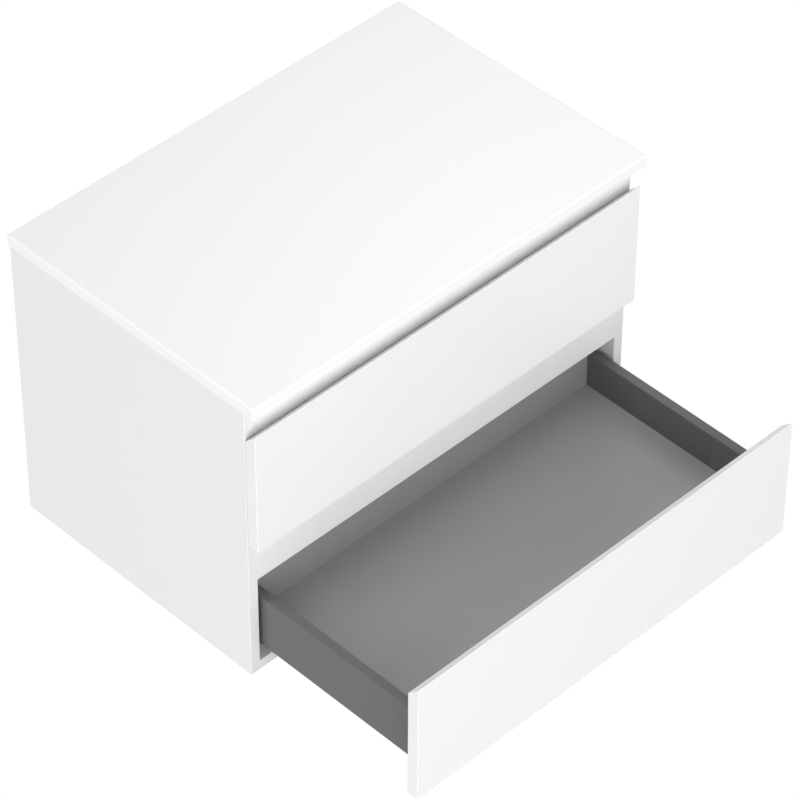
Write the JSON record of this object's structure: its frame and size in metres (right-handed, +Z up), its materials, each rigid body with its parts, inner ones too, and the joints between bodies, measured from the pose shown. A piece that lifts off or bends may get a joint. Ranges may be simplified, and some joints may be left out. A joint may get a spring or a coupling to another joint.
{
  "type": "vanity cabinet",
  "caption": "Wall-hung bathroom vanity cabinet with a slab worktop and handleless bevelled drawer fronts on steel-sided drawers that slide out on telescopic runners.",
  "frame": {"origin": "on the wall plane, at mid-width, level with the underside of the carcass", "axes": "+X to the right seen from the front, +Y into the wall, +Z up; the drawers open towards -Y"},
  "size_m": [0.81, 0.8604, 0.562],
  "materials": {
    "white_worktop": "white matt lacquered slab",
    "white_front": "white matt lacquered board",
    "white_board": "white matt coated board",
    "drawer_steel": "anthracite powder coat",
    "drawer_board": "grey coated board",
    "cap_plastic": "anthracite moulded plastic",
    "cage_plastic": "natural nylon",
    "hanger_plastic": "light grey moulded plastic",
    "beech_dowel": "plain beech",
    "zinc_steel": "bright zinc plated"
  },
  "bodies": {
    "cabinet": {"worktop": "white_worktop", "left_side_panel": "white_board", "right_side_panel": "white_board", "bottom_panel": "white_board", "top_front_rail": "white_board", "middle_front_rail": "white_board", "upper_rear_rail": "white_board", "lower_rear_rail": "white_board", "carcass_dowels": "beech_dowel", "worktop_angles": "zinc_steel", "worktop_angle_screws": "zinc_steel", "left_hanger_housing": "hanger_plastic", "right_hanger_housing": "hanger_plastic", "left_hanger_hook": "zinc_steel", "right_hanger_hook": "zinc_steel", "hanger_screws": "zinc_steel", "runner_screws": "zinc_steel", "upper_left_cabinet_rail": "zinc_steel", "upper_right_cabinet_rail": "zinc_steel", "lower_left_cabinet_rail": "zinc_steel", "lower_right_cabinet_rail": "zinc_steel"},
    "upper_drawer": {"upper_front": "white_front", "upper_drawer_base": "drawer_board", "upper_drawer_back": "drawer_board", "upper_drawer_screws": "zinc_steel", "upper_left_drawer_side": "drawer_steel", "upper_left_cover_cap": "cap_plastic", "upper_left_front_bracket": "zinc_steel", "upper_left_back_bracket": "zinc_steel", "upper_left_drawer_rail": "zinc_steel", "upper_right_drawer_side": "drawer_steel", "upper_right_cover_cap": "cap_plastic", "upper_right_front_bracket": "zinc_steel", "upper_right_back_bracket": "zinc_steel", "upper_right_drawer_rail": "zinc_steel"},
    "upper_middle_rails": {"upper_left_middle_rail": "zinc_steel", "upper_right_middle_rail": "zinc_steel"},
    "upper_outer_cages": {"upper_outer_roller_cages": "cage_plastic"},
    "upper_inner_cages": {"upper_inner_roller_cages": "cage_plastic"},
    "lower_drawer": {"lower_front": "white_front", "lower_drawer_base": "drawer_board", "lower_drawer_back": "drawer_board", "lower_drawer_screws": "zinc_steel", "lower_left_drawer_side": "drawer_steel", "lower_left_cover_cap": "cap_plastic", "lower_left_front_bracket": "zinc_steel", "lower_left_back_bracket": "zinc_steel", "lower_left_drawer_rail": "zinc_steel", "lower_right_drawer_side": "drawer_steel", "lower_right_cover_cap": "cap_plastic", "lower_right_front_bracket": "zinc_steel", "lower_right_back_bracket": "zinc_steel", "lower_right_drawer_rail": "zinc_steel"},
    "lower_middle_rails": {"lower_left_middle_rail": "zinc_steel", "lower_right_middle_rail": "zinc_steel"},
    "lower_outer_cages": {"lower_outer_roller_cages": "cage_plastic"},
    "lower_inner_cages": {"lower_inner_roller_cages": "cage_plastic"}
  },
  "joints": [
    {"name": "upper_drawer_slide", "type": "slide", "parent": "cabinet", "child": "upper_drawer", "axis": [0, -1, 0], "range_m": [0, 0.4]},
    {"name": "upper_middle_rail_slide", "type": "slide", "parent": "cabinet", "child": "upper_middle_rails", "axis": [0, -1, 0], "range_m": [0, 0.2]},
    {"name": "upper_outer_cage_slide", "type": "slide", "parent": "cabinet", "child": "upper_outer_cages", "axis": [0, -1, 0], "range_m": [0, 0.1]},
    {"name": "upper_inner_cage_slide", "type": "slide", "parent": "cabinet", "child": "upper_inner_cages", "axis": [0, -1, 0], "range_m": [0, 0.3]},
    {"name": "lower_drawer_slide", "type": "slide", "parent": "cabinet", "child": "lower_drawer", "axis": [0, -1, 0], "range_m": [-0.332, 0.068]},
    {"name": "lower_middle_rail_slide", "type": "slide", "parent": "cabinet", "child": "lower_middle_rails", "axis": [0, -1, 0], "range_m": [-0.166, 0.034]},
    {"name": "lower_outer_cage_slide", "type": "slide", "parent": "cabinet", "child": "lower_outer_cages", "axis": [0, -1, 0], "range_m": [-0.083, 0.017]},
    {"name": "lower_inner_cage_slide", "type": "slide", "parent": "cabinet", "child": "lower_inner_cages", "axis": [0, -1, 0], "range_m": [-0.249, 0.051]}
  ],
  "couplings": [
    {"joint": "upper_middle_rail_slide", "follows": "upper_drawer_slide", "ratio": 0.5},
    {"joint": "upper_outer_cage_slide", "follows": "upper_drawer_slide", "ratio": 0.25},
    {"joint": "upper_inner_cage_slide", "follows": "upper_drawer_slide", "ratio": 0.75},
    {"joint": "lower_middle_rail_slide", "follows": "lower_drawer_slide", "ratio": 0.5},
    {"joint": "lower_outer_cage_slide", "follows": "lower_drawer_slide", "ratio": 0.25},
    {"joint": "lower_inner_cage_slide", "follows": "lower_drawer_slide", "ratio": 0.75}
  ]
}
